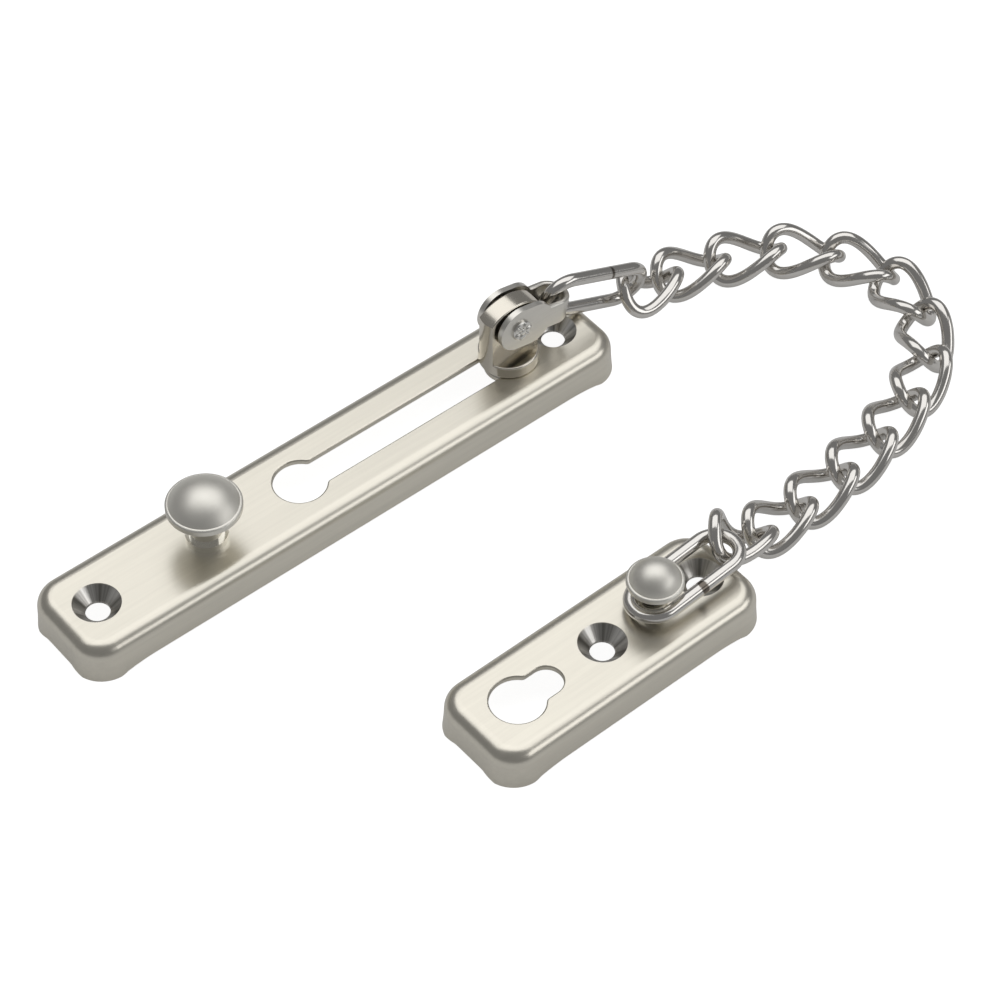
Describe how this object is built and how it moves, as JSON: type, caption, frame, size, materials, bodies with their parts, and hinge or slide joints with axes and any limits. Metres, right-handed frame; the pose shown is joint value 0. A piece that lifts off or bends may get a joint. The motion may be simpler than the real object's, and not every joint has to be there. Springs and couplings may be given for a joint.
{
  "type": "door chain",
  "caption": "Door chain: a long plate with a keyhole slot and slider, a clevis, a twisted-link chain, and a short plate with a stud that the end ring hangs on.",
  "frame": {"origin": "under the middle of the whole set as it is laid out, on the plane that both plates are mounted on", "axes": "+X along the long plate towards the chain's end of the slot, +Z out of the mounting plane, +Y across the plate, away from the short plate"},
  "size_m": [0.2061, 0.098, 0.0259],
  "materials": {
    "plate": "satin pressed steel with fine lengthwise brushing",
    "stud": "satin-polished turned steel",
    "slider": "polished casting",
    "strap": "satin strip",
    "rivet": "bright headed rivet",
    "chain": "bright polished wire"
  },
  "bodies": {
    "long_plate": {"track_plate": "plate", "track_knob": "stud"},
    "slider": {"slider": "slider"},
    "clevis": {"clevis": "strap", "clevis_rivet": "rivet"},
    "coupling": {"coupling_link": "chain"},
    "link_01": {"curb_link_01": "chain"},
    "link_02": {"curb_link_02": "chain"},
    "link_03": {"curb_link_03": "chain"},
    "link_04": {"curb_link_04": "chain"},
    "link_05": {"curb_link_05": "chain"},
    "link_06": {"curb_link_06": "chain"},
    "link_07": {"curb_link_07": "chain"},
    "link_08": {"curb_link_08": "chain"},
    "link_09": {"curb_link_09": "chain"},
    "link_10": {"curb_link_10": "chain"},
    "link_11": {"curb_link_11": "chain"},
    "link_12": {"curb_link_12": "chain"},
    "link_13": {"curb_link_13": "chain"},
    "end_ring": {"end_ring": "chain"},
    "short_plate": {"keeper_plate": "plate", "keeper_knob": "stud"}
  },
  "joints": [
    {"name": "slider_slide", "type": "slide", "parent": "long_plate", "child": "slider", "axis": [1, 0, 0], "range_m": [-0.056, 0]},
    {"name": "clevis_pivot", "type": "hinge", "parent": "slider", "child": "clevis", "pos_m": [0.0145, 0.03642, 0.0207], "axis": [0, 1, 0], "range_deg": [-43, 0]},
    {"name": "coupling_pivot", "type": "hinge", "parent": "clevis", "child": "coupling", "pos_m": [0.02979, 0.03644, 0.01772], "axis": [0.1211, 0.976, 0.181], "range_deg": [-120, 0]},
    {"name": "link_01_pivot", "type": "hinge", "parent": "coupling", "child": "link_01", "pos_m": [0.0465, 0.03367, 0.00936], "axis": [0.0516, 0.9987, 0], "range_deg": [-60, 28]},
    {"name": "link_02_pivot", "type": "hinge", "parent": "link_01", "child": "link_02", "pos_m": [0.05862, 0.03622, 0.0048], "axis": [-0.0354, 0.0093, -0.9993], "range_deg": [-52, 3]},
    {"name": "link_03_pivot", "type": "hinge", "parent": "link_02", "child": "link_03", "pos_m": [0.07138, 0.03288, 0.00432], "axis": [0, 0, 1], "range_deg": [-18, 45]},
    {"name": "link_04_pivot", "type": "hinge", "parent": "link_03", "child": "link_04", "pos_m": [0.08347, 0.02757, 0.00432], "axis": [0, 0, -1], "range_deg": [-58, 14]},
    {"name": "link_05_pivot", "type": "hinge", "parent": "link_04", "child": "link_05", "pos_m": [0.09254, 0.01798, 0.00432], "axis": [0, 0, 1], "range_deg": [-15, 57]},
    {"name": "link_06_pivot", "type": "hinge", "parent": "link_05", "child": "link_06", "pos_m": [0.09748, 0.00574, 0.00432], "axis": [0, 0, -1], "range_deg": [-67, 5]},
    {"name": "link_07_pivot", "type": "hinge", "parent": "link_06", "child": "link_07", "pos_m": [0.09514, -0.00725, 0.00432], "axis": [0, 0, 1], "range_deg": [-12, 60]},
    {"name": "link_08_pivot", "type": "hinge", "parent": "link_07", "child": "link_08", "pos_m": [0.08769, -0.01814, 0.00432], "axis": [0, 0, -1], "range_deg": [-62, 9]},
    {"name": "link_09_pivot", "type": "hinge", "parent": "link_08", "child": "link_09", "pos_m": [0.07603, -0.02434, 0.00432], "axis": [0, 0, 1], "range_deg": [-18, 47]},
    {"name": "link_10_pivot", "type": "hinge", "parent": "link_09", "child": "link_10", "pos_m": [0.06341, -0.0282, 0.00432], "axis": [0, 0, -1], "range_deg": [-43, 21]},
    {"name": "link_11_pivot", "type": "hinge", "parent": "link_10", "child": "link_11", "pos_m": [0.0504, -0.03044, 0.00432], "axis": [0, 0, 1], "range_deg": [-25, 40]},
    {"name": "link_12_pivot", "type": "hinge", "parent": "link_11", "child": "link_12", "pos_m": [0.03727, -0.0318, 0.00432], "axis": [-0.1216, -0.0074, -0.9925], "range_deg": [-36, 30]},
    {"name": "link_13_pivot", "type": "hinge", "parent": "link_12", "child": "link_13", "pos_m": [0.02419, -0.0326, 0.00593], "axis": [0.0332, -0.9995, 0], "range_deg": [-5, 55]},
    {"name": "ring_pivot", "type": "hinge", "parent": "link_13", "child": "end_ring", "pos_m": [0.0133, -0.03296, 0.01337], "axis": [0.0332, -0.9995, 0], "range_deg": [-14, 8]},
    {"name": "short_plate_turn", "type": "hinge", "parent": "end_ring", "child": "short_plate", "pos_m": [-0.00653, -0.03567, 0], "axis": [0, 0, -1], "range_deg": [-5, 16]}
  ],
  "couplings": [
    {"joint": "clevis_pivot", "follows": "slider_slide", "rad_per_m": 13}
  ]
}
